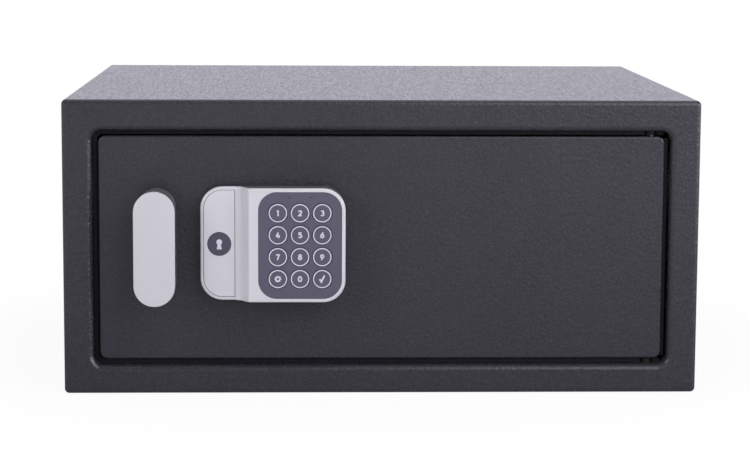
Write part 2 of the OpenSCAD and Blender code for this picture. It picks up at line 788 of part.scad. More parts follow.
module solenoid_frame() color(zinc) {
    x = [lock_x - solenoid_w / 2, lock_x + solenoid_w / 2];
    y = [door_y[1], door_y[1] + solenoid_depth];
    difference() {
        span(x, y, solenoid_z);
        span(grow(x, 1), [y[0] + solenoid_t, y[1] + 1], grow(solenoid_z, -solenoid_t));
        translate([lock_x, plunger_y, solenoid_z[0] - 1])
            cylinder(h = solenoid_h + 2, r = plunger_r + fit);
    }
}

module solenoid_coil() color([0.62, 0.3, 0.16]) {
    z = grow(solenoid_z, -solenoid_t);
    difference() {
        translate([lock_x, plunger_y, z[0]])
            cylinder(h = z[1] - z[0], r = solenoid_depth / 2 - solenoid_t);
        translate([lock_x, plunger_y, z[0] - 1]) cylinder(h = z[1] - z[0] + 2, r = plunger_r + gap);
    }
}

module solenoid_plunger() color([0.8, 0.8, 0.82]) {
    translate([lock_x, plunger_y, solenoid_z[0] + plunger_foot])
        cylinder(h = plunger_tip_z - solenoid_z[0] - plunger_foot, r = plunger_r);
}

module lock_cylinder() color(zinc) {
    difference() {
        union() {
            rod_y(lock_x, lock_z, [lock_front_y, lock_seat_y], lock_head_d / 2);
            rod_y(lock_x, lock_z, [lock_front_y, lock_back_y], lock_d / 2);
        }
        rod_y(lock_x, lock_z, [lock_front_y - 1, lock_back_y + 1], plug_r + fit);
    }
}

module lock_nut() color(zinc) {
    y = [door_y[1], door_y[1] + lock_nut_h];
    difference() {
        translate([lock_x, y[1], lock_z]) rotate([90, 0, 0])
            cylinder(h = y[1] - y[0], d = lock_nut_d, $fn = 6);
        rod_y(lock_x, lock_z, grow(y, 1), lock_d / 2);
    }
}

module lock_plug() color([0.78, 0.68, 0.42]) {
    difference() {
        union() {
            rod_y(lock_x, lock_z, [lock_front_y, lock_cam_y[0]], plug_r);
            rod_y(lock_x, lock_z, [lock_cam_y[0] - 1, lock_cam_y[1] + 3], plug_stem_r);
        }
        span([lock_x - keyway_w / 2, lock_x + keyway_w / 2], [lock_front_y - 1, lock_front_y + 12],
             [lock_z - keyway_h / 2, lock_z + keyway_h / 2]);
    }
}

module lock_cam() color(zinc) {
    half = plug_stem_r + 1.5;
    difference() {
        union() {
            rod_y(lock_x, lock_z, lock_cam_y, plug_stem_r + 3);
            span([lock_x, lock_x + lock_cam_len], lock_cam_y, [lock_z - half, lock_z + half]);
        }
        rod_y(lock_x, lock_z, grow(lock_cam_y, 1), plug_stem_r);
    }
}

module lock_cam_nut() color(zinc) {
    y = [lock_cam_y[1], lock_cam_y[1] + 2.2];
    difference() {
        translate([lock_x, y[1], lock_z]) rotate([90, 0, 0])
            cylinder(h = y[1] - y[0], r = plug_stem_r + 2.6, $fn = 6);
        rod_y(lock_x, lock_z, grow(y, 1), plug_stem_r);
    }
}

// Side view of the housing: low at the left, a smooth ramp, high at the right
function ramp_points(steps) = [for (i = [0:steps])
    let (t = i / steps, rise = (1 - cos(180 * pow(t, ramp_lean))) / 2)
    [ramp_x[0] + t * ramp_w, low_y - (housing_high - housing_low) * rise]];

// Everything that lies at least this far under the housing's face
module under_face(drop) {
    translate([0, drop, housing_z[0]]) linear_extrude(housing_h)
        polygon(concat([[housing_x[0] - 1, door_y[0]], [housing_x[0] - 1, low_y]], ramp_points(20),
                       [[housing_x[1] + 1, high_y], [housing_x[1] + 1, door_y[0]]]));
}

module housing_plate(set_in) {
    round_plate(grow(housing_x, -set_in), grow(housing_z, -set_in), [high_y, door_y[0]],
                all_round(housing_r - set_in));
}

// Seats of the key panel and the lift-off cover, and the holes for the keys and the lock
module housing_cuts() {
    round_plate(panel_x, panel_z, [high_y - 1, panel_y[1]], all_round(panel_r));
    round_plate(grow(cover_x, gap), grow(panel_z, gap), [low_y - 1, low_floor_y[0]],
                [panel_r + gap, 0, 0, panel_r + gap]);
    for (x = key_columns, z = key_rows) rod_y(x, z, [high_y - 1, high_inner_y + 1], key_r + gap);
    rod_y(lock_x, lock_z, [low_floor_y[0] - 1, lock_seat_y], lock_head_d / 2);
    rod_y(lock_x, lock_z, [lock_seat_y - 1, low_floor_y[1] + 1], lock_d / 2);
}

module keypad_housing() color(dark_shell) {
    inner_r = housing_r - housing_set_in - housing_wall;
    difference() {
        union() {
            difference() {
                intersection() {
                    housing_plate(housing_set_in);
                    under_face(bezel_t);
                }
                round_plate(cavity_x, cavity_z, [low_floor_y[1], door_y[0] + 1], all_round(inner_r));
                round_plate([high_cavity_x0, cavity_x[1]], cavity_z, [high_inner_y, door_y[0] + 1],
                            [0, inner_r, inner_r, 0]);
            }
            for (i = [0:1]) rod_y(housing_screw_at[i][0], housing_screw_at[i][1],
                                  [low_floor_y[1] - 1, door_y[0]], housing_boss_r);
            rod_y(housing_screw_at[2][0], housing_screw_at[2][1], [high_inner_y - eps, door_y[0]],
                  housing_boss_r);
            for (x = [key_columns[0], key_columns[1]], z = [key_rows[0], key_rows[1], key_rows[2]])
                rod_y(x + key_pitch / 2, z + key_pitch / 2, [high_inner_y - eps, mat_y[0]], board_post_r);
        }
        housing_cuts();
        for (at = housing_screw_at)
            rod_y(at[0], at[1], [door_y[0] - housing_screw_len, door_y[0] + 1], screw_r);
    }
}

module keypad_bezel() color(light_shell) {
    difference() {
        intersection() {
            housing_plate(0);
            under_face(0);
        }
        under_face(bezel_t);
        difference() {
            round_plate(grow(housing_x, -panel_margin), grow(housing_z, -panel_margin),
                        [high_y - 1, low_y + 1], all_round(panel_r));
            under_face(rim_step);
        }
        housing_cuts();
    }
}

module key_panel() color(panel_grey) {
    difference() {
        round_plate(panel_x, panel_z, panel_y, all_round(panel_r));
        for (x = key_columns, z = key_rows) rod_y(x, z, grow(panel_y, 1), key_r + gap);
        lamp_shapes(grow(panel_y, 1));
    }
}

module lamp_shapes(y) {
    for (x = [key_columns[0] + key_pitch / 2, key_columns[1] + key_pitch / 2])
        span([x - lamp_w / 2, x + lamp_w / 2], y, [lamp_at_z - lamp_h / 2, lamp_at_z + lamp_h / 2]);
}

module lamp_windows() color([0.5, 0.5, 0.58]) {
    lamp_shapes(panel_y);
}

module contact_mat() color([0.25, 0.25, 0.28]) {
    round_plate(board_x, board_z, mat_y, all_round(8));
}

module keypad_board() color([0.1, 0.35, 0.2]) {
    round_plate(board_x, board_z, keyboard_y, all_round(8));
}

module key_cap(column, row) color(panel_grey) {
    x = key_columns[column];
    z = key_rows[3 - row];
    rod_y(x, z, [key_face_y, key_flange_y[1]], key_r);
    rod_y(x, z, key_flange_y, key_flange_r);
}

module lock_cover() color(light_shell) {
    difference() {
        round_plate(cover_x, panel_z, low_cover_y, [panel_r, 0, 0, panel_r]);
        rod_y(lock_x, lock_z, [low_y - 1, low_y + badge_t], badge_d / 2);
    }
}

module badge_disc() color([0.3, 0.29, 0.36]) {
    rod_y(lock_x, lock_z, [low_y, low_y + badge_t], badge_d / 2);
}

module inner_cover() color(dark_plastic) {
    hollow_x = [inner_x[0] - 1, inner_x[1] - inner_wall];
    hollow_z = grow(inner_z, -inner_wall);
    difference() {
        span(inner_x, inner_y, inner_z);
        span(hollow_x, [inner_y[0] - 1, inner_back_y], hollow_z);
        span(grow(pocket_x, gap), [inner_back_y - 1, inner_y[1] + 1], grow(pocket_z, gap));
        rod_y(reset_at[0], reset_at[1], [inner_back_y - 1, inner_y[1] + 1], reset_d / 2 + gap);
        for (at = post_at) rod_y(at[0], at[1], [inner_back_y - 1, inner_y[1] + 1], screw_r + 0.3);
    }
}

module cover_posts() color(zinc) {
    for (at = post_at) difference() {
        rod_y(at[0], at[1], [door_y[1], inner_back_y], post_d / 2);
        rod_y(at[0], at[1], [inner_back_y - cover_screw_len, inner_back_y + 1], screw_r);
    }
}

// Screws behind the housing, and screws in the inner cover's posts
module door_screws() color(zinc) {
    for (at = housing_screw_at) {
        rod_y(at[0], at[1], [door_y[0] - housing_screw_len, door_y[1] + 1], screw_r);
        rod_y(at[0], at[1], [door_y[1], door_y[1] + screw_head_h], screw_head_d / 2);
    }
    for (at = post_at) {
        rod_y(at[0], at[1], [inner_back_y - cover_screw_len, inner_y[1] + 1], screw_r);
        rod_y(at[0], at[1], [inner_y[1], inner_y[1] + screw_head_h], screw_head_d / 2);
    }
}

module battery_holder() color(dark_plastic) {
    difference() {
        span(holder_x, [door_y[1], holder_back_y], holder_z);
        span(pocket_x, [pocket_y, holder_back_y + 1], pocket_z);
        span(grow(holder_x, -holder_wall), [door_y[1] - 1, pocket_y - holder_wall],
             grow(holder_z, -holder_wall));
    }
}

module battery_cells() color([0.75, 0.75, 0.72]) {
    for (z = cell_z) {
        rod_x([cell_x0, cell_x0 + cell_len], cell_y, z, cell_r);
        rod_x([cell_x0, cell_x0 + cell_len + nub_len], cell_y, z, nub_d / 2);
    }
}

module battery_contacts() color(zinc) {
    for (z = cell_z) {
        for (x = [pocket_x[0], pocket_x[1] - contact_t])
            span([x, x + contact_t], [cell_y - contact_w / 2, cell_y + contact_w / 2],
                 [z - contact_h / 2, z + contact_h / 2]);
        rod_x([pocket_x[0], cell_x0], cell_y, z, spring_d / 2);
    }
}

module battery_door() color(dark_plastic) {
    difference() {
        span(pocket_x, bay_door_y, pocket_z);
        span([bay_cx - groove_w / 2, bay_cx + groove_w / 2], [bay_door_y[1] - 1, bay_door_y[1] + 1],
             [pocket_z[1] - groove_drop - groove_h, pocket_z[1] - groove_drop]);
    }
}

module control_board() color([0.1, 0.35, 0.2]) {
    span(control_range, control_y, control_rows);
    for (x = grow(control_range, -control_inset), z = grow(control_rows, -control_inset))
        rod_y(x, z, [door_y[1], control_y[0] + eps], control_leg_d / 2);
}

module board_parts() color(dark_plastic) {
    y0 = control_y[1];
    rod_y(control_cx - 14, mid_z + 14, [y0, y0 + 9], 6);
    span([control_cx - 8, control_cx + 8], [y0, y0 + 2.5], [mid_z - 12, mid_z + 2]);
    span([reset_at[0] - 4, reset_at[0] + 4], [y0, switch_top], [reset_at[1] - 4, reset_at[1] + 4]);
    for (x = [plug_in_x[0], plug_in_x[1]])
        span([x - 4, x + 4], [y0, wire_y + wire_r + 1], [control_rows[0], control_rows[0] + 8]);
}

module wire_leg(from, to) {
    run = to - from;
    length = norm(run);
    turn = abs(run[0]) > eps ? [0, run[0] > 0 ? 90 : -90, 0]
         : abs(run[1]) > eps ? [run[1] > 0 ? -90 : 90, 0, 0]
         : [run[2] > 0 ? 0 : 180, 0, 0];
    translate(from) rotate(turn) cylinder(h = length, r = wire_r);
}

module wiring() color([0.7, 0.12, 0.1]) {
    for (route = wire_routes) {
        for (i = [0:len(route) - 2]) wire_leg(route[i], route[i + 1]);
        for (i = [1:len(route) - 2]) translate(route[i]) sphere(wire_r);
    }
}

module reset_button() color([0.75, 0.1, 0.08]) {
    rod_y(reset_at[0], reset_at[1], reset_y, reset_d / 2);
    rod_y(reset_at[0], reset_at[1], [reset_y[0], reset_y[0] + 1.2], reset_d / 2 + 1.5);
}

case_wrap();
front_frame();
back_panel();
floor_mat();
hinge_pins();
hinge_spacers();
door_plate();
hinge_blocks();
bolt_guide();
carriage_studs();
stud_washers();
spindle_bush();
handle_body();
handle_cap();
handle_spindle();
handle_cam();
crank_pin();
spindle_nut();
bolt_carriage();
locking_bolts();
bolt_screws();
solenoid_frame();
solenoid_coil();
solenoid_plunger();
lock_cylinder();
lock_nut();
lock_plug();
lock_cam();
lock_cam_nut();
keypad_housing();
keypad_bezel();
key_panel();
lamp_windows();
contact_mat();
keypad_board();
lock_cover();
badge_disc();
inner_cover();
cover_posts();
door_screws();
battery_holder();
battery_cells();
battery_contacts();
battery_door();
control_board();
board_parts();
wiring();
reset_button();
for (i = [0:len(key_names) - 1])
    key_cap(i % 3, floor(i / 3));
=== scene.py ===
"""Looks, light and camera for the laptop safe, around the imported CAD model."""
import json
import math

import bpy
from mathutils import Matrix, Vector
from mathutils.geometry import delaunay_2d_cdt


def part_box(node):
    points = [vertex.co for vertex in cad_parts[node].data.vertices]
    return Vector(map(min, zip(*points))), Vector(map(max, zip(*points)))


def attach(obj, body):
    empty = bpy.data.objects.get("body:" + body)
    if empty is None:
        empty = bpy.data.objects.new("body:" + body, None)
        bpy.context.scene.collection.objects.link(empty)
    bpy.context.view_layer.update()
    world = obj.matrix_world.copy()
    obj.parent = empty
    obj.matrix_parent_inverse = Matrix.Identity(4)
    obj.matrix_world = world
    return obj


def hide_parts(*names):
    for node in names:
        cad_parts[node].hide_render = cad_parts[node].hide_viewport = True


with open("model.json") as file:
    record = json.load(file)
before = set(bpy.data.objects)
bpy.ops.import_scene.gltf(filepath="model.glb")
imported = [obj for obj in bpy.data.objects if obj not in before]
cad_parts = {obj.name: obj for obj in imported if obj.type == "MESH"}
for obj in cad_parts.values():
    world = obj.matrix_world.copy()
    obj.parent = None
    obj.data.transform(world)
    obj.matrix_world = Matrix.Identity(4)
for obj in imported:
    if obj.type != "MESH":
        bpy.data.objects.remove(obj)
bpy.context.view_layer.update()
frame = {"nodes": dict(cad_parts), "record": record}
nodes = frame["nodes"]
scene = bpy.context.scene

MM = 0.001
WHITE = (1, 1, 1)

# Edges that bend by more than this are rounded, or stay sharp where nothing rounds them
SHARP_ANGLE = math.radians(32)

# The keypad bezel's corner, and where the ramp between its two faces starts and ends
BEZEL_CORNER = 15 * MM
RAMP_X = (-99 * MM, -89 * MM)
RAMP_Y = (-180 * MM, -190 * MM)

# The door opening of the frame, in millimetres
OPENING_X = 195.2
OPENING_Z = (19.0, 179.5)
OPENING_CORNER = 7.0


# Shader and geometry nodes

def add_node(tree, kind, inputs=None, **settings):
    """A new node in a tree. Each input takes a value, or a link where a socket is given."""
    made = tree.nodes.new(kind)
    for key, value in settings.items():
        setattr(made, key, value)
    for key, value in (inputs or {}).items():
        if isinstance(value, bpy.types.NodeSocket):
            tree.links.new(value, made.inputs[key])
        else:
            made.inputs[key].default_value = value
    return made


def add_math(tree, operation, a, b=0.0, c=0.0):
    return add_node(tree, "ShaderNodeMath", {0: a, 1: b, 2: c}, operation=operation).outputs[0]


def add_range(tree, value, low, high, to_low, to_high, **settings):
    """Maps a value from one range to another."""
    inputs = {"Value": value, "From Min": low, "From Max": high, "To Min": to_low, "To Max": to_high}
    return add_node(tree, "ShaderNodeMapRange", inputs, **settings).outputs[0]


def new_group(name):
    """An empty geometry node group, with its input and output nodes."""
    group = bpy.data.node_groups.new(name, "GeometryNodeTree")
    for in_out in ("INPUT", "OUTPUT"):
        group.interface.new_socket("Geometry", in_out=in_out, socket_type="NodeSocketGeometry")
    return group, add_node(group, "NodeGroupInput"), add_node(group, "NodeGroupOutput")


# Materials

# The part of their range that most noise values lie in
NOISE_SPAN = (0.3, 0.7)


def toned(color, tone):
    return tuple(c * tone for c in color)


class Shader:
    """A Principled material whose textures run in the row frame. Sizes are in metres."""

    def __init__(self, name, color, roughness, metallic=0.0, **fixed):
        self.material = bpy.data.materials.new(name)
        self.material.use_nodes = True
        self.material.diffuse_color = (*color, 1)
        self.tree = self.material.node_tree
        self.tree.nodes.clear()
        self.bsdf = self.node("ShaderNodeBsdfPrincipled", {
            "Base Color": (*color, 1), "Roughness": roughness, "Metallic": metallic, **fixed})
        self.node("ShaderNodeOutputMaterial", {"Surface": self.bsdf.outputs[0]}, is_active_output=True)
        self.coords = self.node("ShaderNodeTexCoord").outputs["Object"]

    def node(self, kind, inputs=None, **settings):
        return add_node(self.tree, kind, inputs, **settings)

    def math(self, operation, a, b=0.0, c=0.0):
        return add_math(self.tree, operation, a, b, c)

    def remap(self, value, low, high, to_low, to_high):
        return add_range(self.tree, value, low, high, to_low, to_high)

    def noise(self, size, detail=2.0, rough=0.5, at=None):
        """Noise with features of about this size."""
        return self.node("ShaderNodeTexNoise", {
            "Vector": at or self.coords, "Scale": 1 / size, "Detail": detail, "Roughness": rough}).outputs[0]

    def cells(self, size, at, smoothness=0.55):
        """Rounded cells of about this size."""
        inputs = {"Vector": at, "Scale": 1 / size, "Smoothness": smoothness}
        return self.node("ShaderNodeTexVoronoi", inputs, feature="SMOOTH_F1").outputs["Distance"]

    def stretched(self, x, y, z):
        """Coordinates with each axis scaled, for brushed or drawn surfaces."""
        return self.node("ShaderNodeMapping", {"Vector": self.coords, "Scale": (x, y, z)}).outputs[0]

    def paint(self, share, first, second):
        """The base colour, from the first at a share of 0 to the second at 1."""
        mixed = self.node("ShaderNodeMix", {0: share, 6: (*first, 1), 7: (*second, 1)}, data_type="RGBA")
        self.tree.links.new(mixed.outputs[2], self.bsdf.inputs["Base Color"])

    def shine(self, noise, low, high):
        """The roughness, between two values as a noise goes up and down."""
        self.tree.links.new(self.remap(noise, *NOISE_SPAN, low, high), self.bsdf.inputs["Roughness"])

    def relief(self, *layers):
        """Bumps from layers of (height socket, depth in metres, strength)."""
        normal = None
        for height, depth, strength in layers:
            inputs = {"Height": height, "Distance": depth, "Strength": strength}
            if normal is not None:
                inputs["Normal"] = normal
            normal = self.node("ShaderNodeBump", inputs).outputs[0]
        self.tree.links.new(normal, self.bsdf.inputs["Normal"])


def powder_coat():
    """Dark textured powder: shallow wrinkles and finer peel under a gloss that shows at grazing light."""
    cell_size, cloud_share, flow_share = 0.0022, 0.38, 0.75
    s = Shader("charcoal_coat", (0.034, 0.032, 0.040), 0.25,
               **{"Specular IOR Level": 0.36, "Specular Tint": (0.97, 0.94, 1.0, 1)})
    drift = s.node("ShaderNodeTexNoise", {"Vector": s.coords, "Scale": 260, "Detail": 1.0}).outputs["Color"]
    warped = s.node("ShaderNodeVectorMath", {0: drift, 1: (cell_size,) * 3, 2: s.coords},
                    operation="MULTIPLY_ADD").outputs[0]
    wrinkle = s.cells(cell_size, at=warped)
    peel = s.noise(0.0013, rough=0.55)
    grain = s.noise(0.00045, rough=0.6)
    cloud = s.noise(0.06, detail=3.0, rough=0.55)
    flow = s.noise(0.0015, rough=0.6, at=s.stretched(1, 0.1, 1))
    speck = s.remap(peel, 0.36, 0.64, 0.0, 1 - cloud_share)
    s.paint(s.math("MULTIPLY_ADD", cloud, cloud_share, speck), (0.025, 0.024, 0.030), (0.043, 0.041, 0.050))
    s.shine(s.math("MULTIPLY_ADD", flow, flow_share, s.math("MULTIPLY", peel, 1 - flow_share)), 0.165, 0.315)
    s.relief((wrinkle, 0.0006, 0.28), (peel, 0.0006, 0.27), (grain, 0.0002, 0.15))
    return s.material


def satin_paint(name, tone):
    """Light paint on plastic, made lighter or darker by its tone; a tone above 1 paints light into the
    colour.
    """
    s = Shader(name, toned((0.54, 0.535, 0.58), tone), 0.33)
    grain = s.noise(0.00035, rough=0.6)
    cloud = s.noise(0.03)
    s.paint(cloud, toned((0.53, 0.525, 0.57), tone), toned((0.555, 0.55, 0.595), tone))
    s.shine(grain, 0.29, 0.38)
    s.relief((grain, 0.00012, 0.12))
    return s.material


def moulded(name, color, roughness, texture=0.0006, depth=0.00015, strength=0.3, spread=0.12, **fixed):
    """Moulded plastic or rubber with a fine spark texture."""
    gloss_spread = 0.12
    s = Shader(name, color, roughness, **fixed)
    grain = s.noise(texture, rough=0.6)
    cloud = s.noise(0.02)
    s.paint(cloud, toned(color, 1 - spread), toned(color, 1 + spread))
    s.shine(grain, roughness * (1 - gloss_spread), roughness * (1 + gloss_spread))
    s.relief((grain, depth, strength))
    return s.material


def metal(name, color, roughness, drawn=(1, 1, 1), spangle=0.012):
    """Plated or turned metal: fine drawing lines and soft patches in the plating."""
    dull, bright = 0.92, 1.05
    smoother, rougher = 0.75, 1.3
    s = Shader(name, color, roughness, metallic=1.0)
    lines = s.noise(0.0006, detail=3.0, rough=0.6, at=s.stretched(*drawn))
    patches = s.noise(spangle, detail=3.0, rough=0.6)
    s.paint(s.remap(patches, *NOISE_SPAN, 0.0, 1.0), toned(color, dull), toned(color, bright))
    s.shine(lines, roughness * smoother, roughness * rougher)
    s.relief((lines, 0.00008, 0.25))
    return s.material


def felt():
    """Matted fibres that lie across each other, with larger tufts."""
    fibre_size, tuft_share = 0.0012, 0.4
    s = Shader("floor_lining", (0.028, 0.028, 0.030), 0.95,
               **{"Sheen Weight": 0.25, "Sheen Roughness": 0.5, "Specular IOR Level": 0.15})
    fibres = s.noise(fibre_size, detail=5.0, rough=0.75, at=s.stretched(1, 3.2, 1))
    crossing = s.noise(fibre_size, detail=5.0, rough=0.75, at=s.stretched(2.8, 1, 1))
    tufts = s.noise(0.007, detail=3.0, rough=0.6)
    s.paint(s.math("MULTIPLY_ADD", tufts, tuft_share, s.math("MULTIPLY", fibres, 1 - tuft_share)),
            (0.016, 0.016, 0.018), (0.046, 0.046, 0.05))
    s.relief((tufts, 0.0010, 0.30), (fibres, 0.0006, 0.7), (crossing, 0.0006, 0.7))
    return s.material


def circuit():
    """Solder mask with raised tracks."""
    s = Shader("circuit_board", (0.012, 0.085, 0.035), 0.3, **{"Coat Weight": 0.35, "Coat Roughness": 0.15})
    waves = s.node("ShaderNodeTexWave", {"Vector": s.coords, "Scale": 90.0, "Distortion": 3.0, "Detail": 1.0},
                   bands_direction="DIAGONAL").outputs[1]
    track = s.remap(waves, 0.55, 0.65, 0.0, 1.0)
    s.paint(track, (0.010, 0.07, 0.03), (0.02, 0.13, 0.055))
    s.relief((track, 0.00006, 0.8))
    return s.material


def wound():
    """Turns of enamelled copper wire."""
    s = Shader("coil_copper", (0.58, 0.23, 0.10), 0.32, metallic=1.0)
    turns = s.node("ShaderNodeTexWave", {"Vector": s.coords, "Scale": 380.0}, bands_direction="Z",
                   wave_profile="SIN").outputs[1]
    s.paint(s.noise(0.004), (0.5, 0.19, 0.08), (0.66, 0.28, 0.12))
    s.relief((turns, 0.0002, 1.0))
    return s.material


def sleeve():
    """A printed cell sleeve: a plain band of colour at the positive end."""
    band_start = 0.72
    s = Shader("cell_wrap", (0.42, 0.42, 0.4), 0.28, metallic=0.6)
    low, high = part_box("battery_cells")
    along = s.node("ShaderNodeSeparateXYZ", {0: s.coords}).outputs[0]
    band = s.math("GREATER_THAN", along, low.x + band_start * (high.x - low.x))
    s.paint(band, (0.02, 0.02, 0.022), (0.55, 0.36, 0.12))
    s.shine(s.noise(0.002), 0.24, 0.32)
    s.relief((s.noise(0.003), 0.0001, 0.1))
    return s.material


FAINT_GLOSS = {"Specular IOR Level": 0.2}
MATERIALS = {
    "charcoal_coat": powder_coat(),
    "light_shell": satin_paint("light_shell", 1.0),
    "floor_lining": felt(),
    "zinc_steel": metal("zinc_steel", (0.60, 0.61, 0.64), 0.30, drawn=(1, 0.12, 1)),
    "spacer_nylon": moulded("spacer_nylon", (0.009, 0.009, 0.010), 0.6, **FAINT_GLOSS),
    "brass": metal("brass", (0.72, 0.53, 0.25), 0.26, drawn=(1, 0.1, 1), spangle=0.01),
    "dark_shell": moulded("dark_shell", (0.112, 0.109, 0.124), 0.36, texture=0.0005, depth=0.0001),
    "key_grey": moulded("key_grey", (0.078, 0.074, 0.112), 0.48, texture=0.0004, depth=0.00008, spread=0.04),
    "badge_grey": moulded("badge_grey", (0.062, 0.058, 0.088), 0.34, texture=0.0004, depth=0.00005,
                          spread=0.04),
    "lamp_lens": moulded("lamp_lens", (0.060, 0.053, 0.088), 0.3, strength=0.05, spread=0.04),
    "black_plastic": moulded("black_plastic", (0.021, 0.021, 0.023), 0.5, texture=0.0009, depth=0.00025),
    "contact_rubber": moulded("contact_rubber", (0.08, 0.08, 0.09), 0.7),
    "circuit_board": circuit(),
    "coil_copper": wound(),
    "cell_wrap": sleeve(),
    "wire_red": moulded("wire_red", (0.40, 0.03, 0.025), 0.38, strength=0.1),
    "reset_red": moulded("reset_red", (0.50, 0.03, 0.02), 0.35, strength=0.15),
}
# A lighter copy of the light shell for the keypad: painted light, making up for the shade it gets beside the
# handle
KEYPAD_SHELL_LIGHTENED = satin_paint("keypad_shell", 1.08)
SEAL_RUBBER = moulded("seal_rubber", (0.009, 0.0085, 0.0115), 0.6, **FAINT_GLOSS)
INK = moulded("key_print", (0.60, 0.59, 0.69), 0.42, texture=0.0003, depth=0.00004, spread=0.03)

for cad_node in nodes.values():
    for held in cad_node.material_slots:
        held.material = MATERIALS[held.material.name.split(".")[0]]
# The keypad bezel and the lock cover wear that lighter copy, painted light against the handle's shade
for name in ("keypad_bezel", "lock_cover"):
    nodes[name].material_slots[0].material = KEYPAD_SHELL_LIGHTENED


# Rounded edges of CAD nodes

WELD_DISTANCE = 0.002 * MM
FLAT_ANGLE = math.radians(0.2)
LARGE_FACE_WEIGHT = 80

# Edge widths in millimetres
KEY_EDGE = 0.22
BEZEL_EDGE = 1.3
EDGE_WIDTHS = {
    "handle_cap": 0.6, "handle_body": 0.5, "lock_cover": 0.25, "key_panel": 0.2, "badge_disc": 0.25,
    "door_plate": 1.5, "hinge_blocks": 0.7, "back_panel": 0.5, "inner_cover": 0.8, "battery_door": 0.5,
    "locking_bolts": 1.4, "bolt_guide": 0.4, "bolt_carriage": 0.4, "reset_button": 0.5, "lock_cylinder": 0.5,
    "lock_plug": 0.2, "hinge_pins": 0.5, "spindle_nut": 0.4, "lock_nut": 0.4, "lock_cam_nut": 0.3,
    "handle_cam": 0.4, "lock_cam": 0.3, "solenoid_frame": 0.3, "battery_holder": 0.4,
}

# How near to its place an edge of the bezel has to lie, and how far it bends, to be rounded
NEAR_FACE = 0.4 * MM
NEAR_RIM = 0.3 * MM
NEAR_RAMP = 0.05 * MM
BEZEL_BEND = math.radians(30)


def smooth_group():
    """Geometry nodes that shade every face smooth."""
    group, start, end = new_group("all_smooth")
    shade = add_node(group, "GeometryNodeSetShadeSmooth", {0: start.outputs[0]})
    group.links.new(shade.outputs[0], end.inputs[0])
    return group


def bezel_weights():
    """Geometry nodes that weigh the bezel's outer front edge and the top of its ramp, to be rounded, and keep
    its other sharp edges sharp."""
    low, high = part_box("keypad_bezel")
    group, start, end = new_group("bezel_edges")

    def calc(operation, a, b=0.0, c=0.0):
        return add_math(group, operation, a, b, c)

    def near(value, target, reach):
        return calc("LESS_THAN", calc("ABSOLUTE", calc("SUBTRACT", value, target)), reach)

    position = add_node(group, "GeometryNodeInputPosition").outputs[0]
    x, y, z = add_node(group, "ShaderNodeSeparateXYZ", {0: position}).outputs
    past = []
    for at, i in ((x, 0), (z, 2)):
        from_middle = calc("ABSOLUTE", calc("SUBTRACT", at, (low[i] + high[i]) / 2))
        past.append(calc("SUBTRACT", from_middle, (high[i] - low[i]) / 2 - BEZEL_CORNER))
    out = [calc("MAXIMUM", value, 0.0) for value in past]
    corner = calc("SQRT", calc("MULTIPLY_ADD", out[0], out[0], calc("MULTIPLY", out[1], out[1])))
    from_edge = calc("ADD", corner, calc("MINIMUM", calc("MAXIMUM", past[0], past[1]), 0.0))
    at_front = near(y, add_range(group, x, *RAMP_X, *RAMP_Y), NEAR_FACE)
    at_rim = near(from_edge, BEZEL_CORNER, NEAR_RIM)
    at_ramp = near(x, RAMP_X[1], NEAR_RAMP)
    angle = add_node(group, "GeometryNodeInputMeshEdgeAngle").outputs[0]
    sharp = calc("GREATER_THAN", angle, BEZEL_BEND)
    chosen = calc("MULTIPLY", calc("MULTIPLY", at_front, sharp), calc("MAXIMUM", at_rim, at_ramp))
    unchosen = calc("MULTIPLY", sharp, calc("SUBTRACT", 1.0, chosen))
    shade = add_node(group, "GeometryNodeSetShadeSmooth", {0: start.outputs[0]})
    crisp = add_node(group, "GeometryNodeSetShadeSmooth", {
        "Geometry": shade.outputs[0], "Selection": unchosen, "Shade Smooth": False}, domain="EDGE")
    store = add_node(group, "GeometryNodeStoreNamedAttribute", {
        "Geometry": crisp.outputs[0], "Name": "bevel_weight_edge", "Value": chosen},
        data_type="FLOAT", domain="EDGE")
    group.links.new(store.outputs[0], end.inputs[0])
    return group


ALL_SMOOTH = smooth_group()


def soften(piece, width, segments=3):
    """Joins the flat triangles of a piece, then rounds its sharp edges by this width, in millimetres."""
    weld = piece.modifiers.new("weld", "WELD")
    weld.merge_threshold = WELD_DISTANCE
    flat = piece.modifiers.new("flat", "DECIMATE")
    flat.decimate_type = "DISSOLVE"
    flat.angle_limit = FLAT_ANGLE
    shade = piece.modifiers.new("smooth", "NODES")
    shade.node_group = ALL_SMOOTH
    bevel = piece.modifiers.new("edge", "BEVEL")
    bevel.width = width * MM
    bevel.segments = segments
    bevel.limit_method = "ANGLE"
    bevel.angle_limit = SHARP_ANGLE
    bevel.use_clamp_overlap = False
    bevel.loop_slide = False
    bevel.miter_outer = "MITER_ARC"
    normals = piece.modifiers.new("normals", "WEIGHTED_NORMAL")
    normals.weight = LARGE_FACE_WEIGHT
    normals.keep_sharp = False


for name, width in EDGE_WIDTHS.items():
    soften(nodes[name], width)
for name in nodes:
    if name.startswith("key_") and name != "key_panel":
        soften(nodes[name], KEY_EDGE)
soften(nodes["keypad_bezel"], BEZEL_EDGE, segments=5)
nodes["keypad_bezel"].modifiers["smooth"].node_group = bezel_weights()
nodes["keypad_bezel"].modifiers["edge"].limit_method = "WEIGHT"
nodes["keypad_bezel"].modifiers["normals"].keep_sharp = True


# Mesh builders. Outlines are in millimetres.

# Points that lie closer than this are joined
JOINED = 1e-5
# The sharpest bend's mitre reaches the pen's half width over this share
MITRE_LIMIT = 0.35


def add_piece(name, verts, faces, material, body, smooth=SHARP_ANGLE):
    mesh = bpy.data.meshes.new(name)
    mesh.from_pydata([tuple(v) for v in verts], [], faces)
    mesh.validate()
    mesh.update()
    mesh.materials.append(material)
    mesh.shade_smooth()
    mesh.set_sharp_from_angle(angle=smooth)
    piece = bpy.data.objects.new(name, mesh)
    scene.collection.objects.link(piece)
    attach(piece, body)
    return piece


